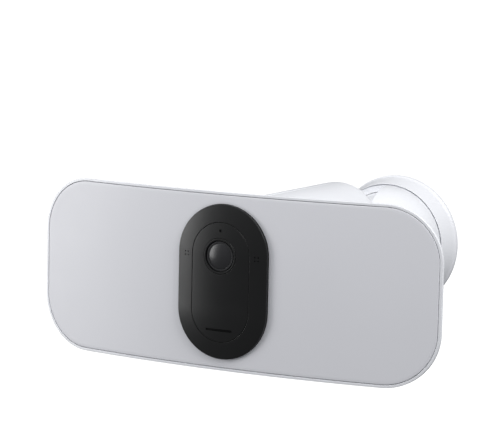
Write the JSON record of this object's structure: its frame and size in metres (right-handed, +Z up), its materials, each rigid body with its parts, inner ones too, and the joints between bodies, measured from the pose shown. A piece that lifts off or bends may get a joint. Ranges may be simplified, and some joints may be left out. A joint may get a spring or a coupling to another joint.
{
  "type": "floodlight security camera",
  "caption": "Wide bowed light panel with a black camera face, a capsule-shaped battery head behind it, and a neck that tilts and turns on a round wall mount.",
  "frame": {"origin": "centre of the wall mount on the wall face", "axes": "+Y points into the wall, -Y towards the viewer, +Z up, +X along the wide light panel"},
  "size_m": [0.366, 0.3338, 0.1452],
  "materials": {
    "white_shell": "fine satin",
    "black_face": "satin",
    "dark_plastic": "moulded",
    "grey_plastic": "moulded",
    "diffuser": "frosted",
    "rubber": "matt",
    "steel": "plated",
    "aluminium": "plain",
    "circuit_board": "solder mask",
    "lighting_board": "white mask",
    "emitter": "phosphor",
    "glass": "coated",
    "window_plastic": "smoked",
    "status_window": "dark tinted",
    "contact_metal": "plated",
    "battery": "moulded",
    "silicon": "polished"
  },
  "bodies": {
    "wall_mount": {"wall_bracket": "steel", "wall_gasket": "rubber", "wall_plate": "white_shell", "plate_set_screw": "steel", "swivel_washer": "grey_plastic"},
    "swivel": {"swivel_dome": "white_shell", "swivel_retainer": "steel", "retainer_screws": "steel"},
    "neck": {"neck": "white_shell", "pivot_stud": "steel", "pivot_nut": "steel", "friction_washer": "grey_plastic", "roll_collar": "steel"},
    "battery_door": {"battery_door": "white_shell"},
    "door_latch": {"door_latch": "grey_plastic"},
    "sync_button": {"sync_button": "grey_plastic"},
    "port_cover": {"port_cover": "rubber"},
    "head": {"head_shell": "white_shell", "head_chassis": "dark_plastic", "battery_sleeve": "dark_plastic", "battery_pack": "battery", "battery_contacts": "contact_metal", "door_hinge_pin": "steel", "door_seal": "rubber", "sync_board": "circuit_board", "charge_port": "dark_plastic", "speaker": "dark_plastic", "main_board": "circuit_board", "shield_cans": "steel", "antennas": "circuit_board", "panel_housing": "white_shell", "diffuser": "diffuser", "diffuser_gasket": "rubber", "led_board_left": "lighting_board", "led_board_right": "lighting_board", "leds": "emitter", "heat_spreaders": "aluminium", "housing_screws": "steel", "camera_fascia": "black_face", "front_plate": "black_face", "lens_bezel": "black_face", "lens_window": "window_plastic", "camera_lens": "glass", "lens_barrel": "dark_plastic", "image_sensor": "silicon", "sensor_board": "circuit_board", "light_sensor": "window_plastic", "motion_sensor": "battery", "microphones": "contact_metal", "status_light": "status_window"}
  },
  "joints": [
    {"name": "mount_swivel", "type": "hinge", "parent": "wall_mount", "child": "swivel", "pos_m": [0, -0.0225, 0], "axis": [0, 1, 0], "range_deg": [-180, 180]},
    {"name": "head_tilt", "type": "hinge", "parent": "swivel", "child": "neck", "pos_m": [0, -0.0225, 0], "axis": [1, 0, 0], "range_deg": [-20, 20]},
    {"name": "head_roll", "type": "hinge", "parent": "neck", "child": "head", "pos_m": [0, -0.114, 0], "axis": [0, 1, 0], "range_deg": [-90, 90]},
    {"name": "battery_door_hinge", "type": "hinge", "parent": "head", "child": "battery_door", "pos_m": [-0.03287, -0.2, -0.04399], "axis": [0, 1, 0], "range_deg": [0, 100]},
    {"name": "door_latch_slide", "type": "slide", "parent": "battery_door", "child": "door_latch", "axis": [0, 1, 0], "range_m": [0, 0.003], "stiffness_N_per_m": 200},
    {"name": "sync_button_press", "type": "slide", "parent": "head", "child": "sync_button", "axis": [0, 0, 1], "range_m": [0, 0.0008], "stiffness_N_per_m": 800},
    {"name": "port_cover_hinge", "type": "hinge", "parent": "head", "child": "port_cover", "pos_m": [0, -0.275, -0.05855], "axis": [1, 0, 0], "range_deg": [-95, 0]}
  ]
}
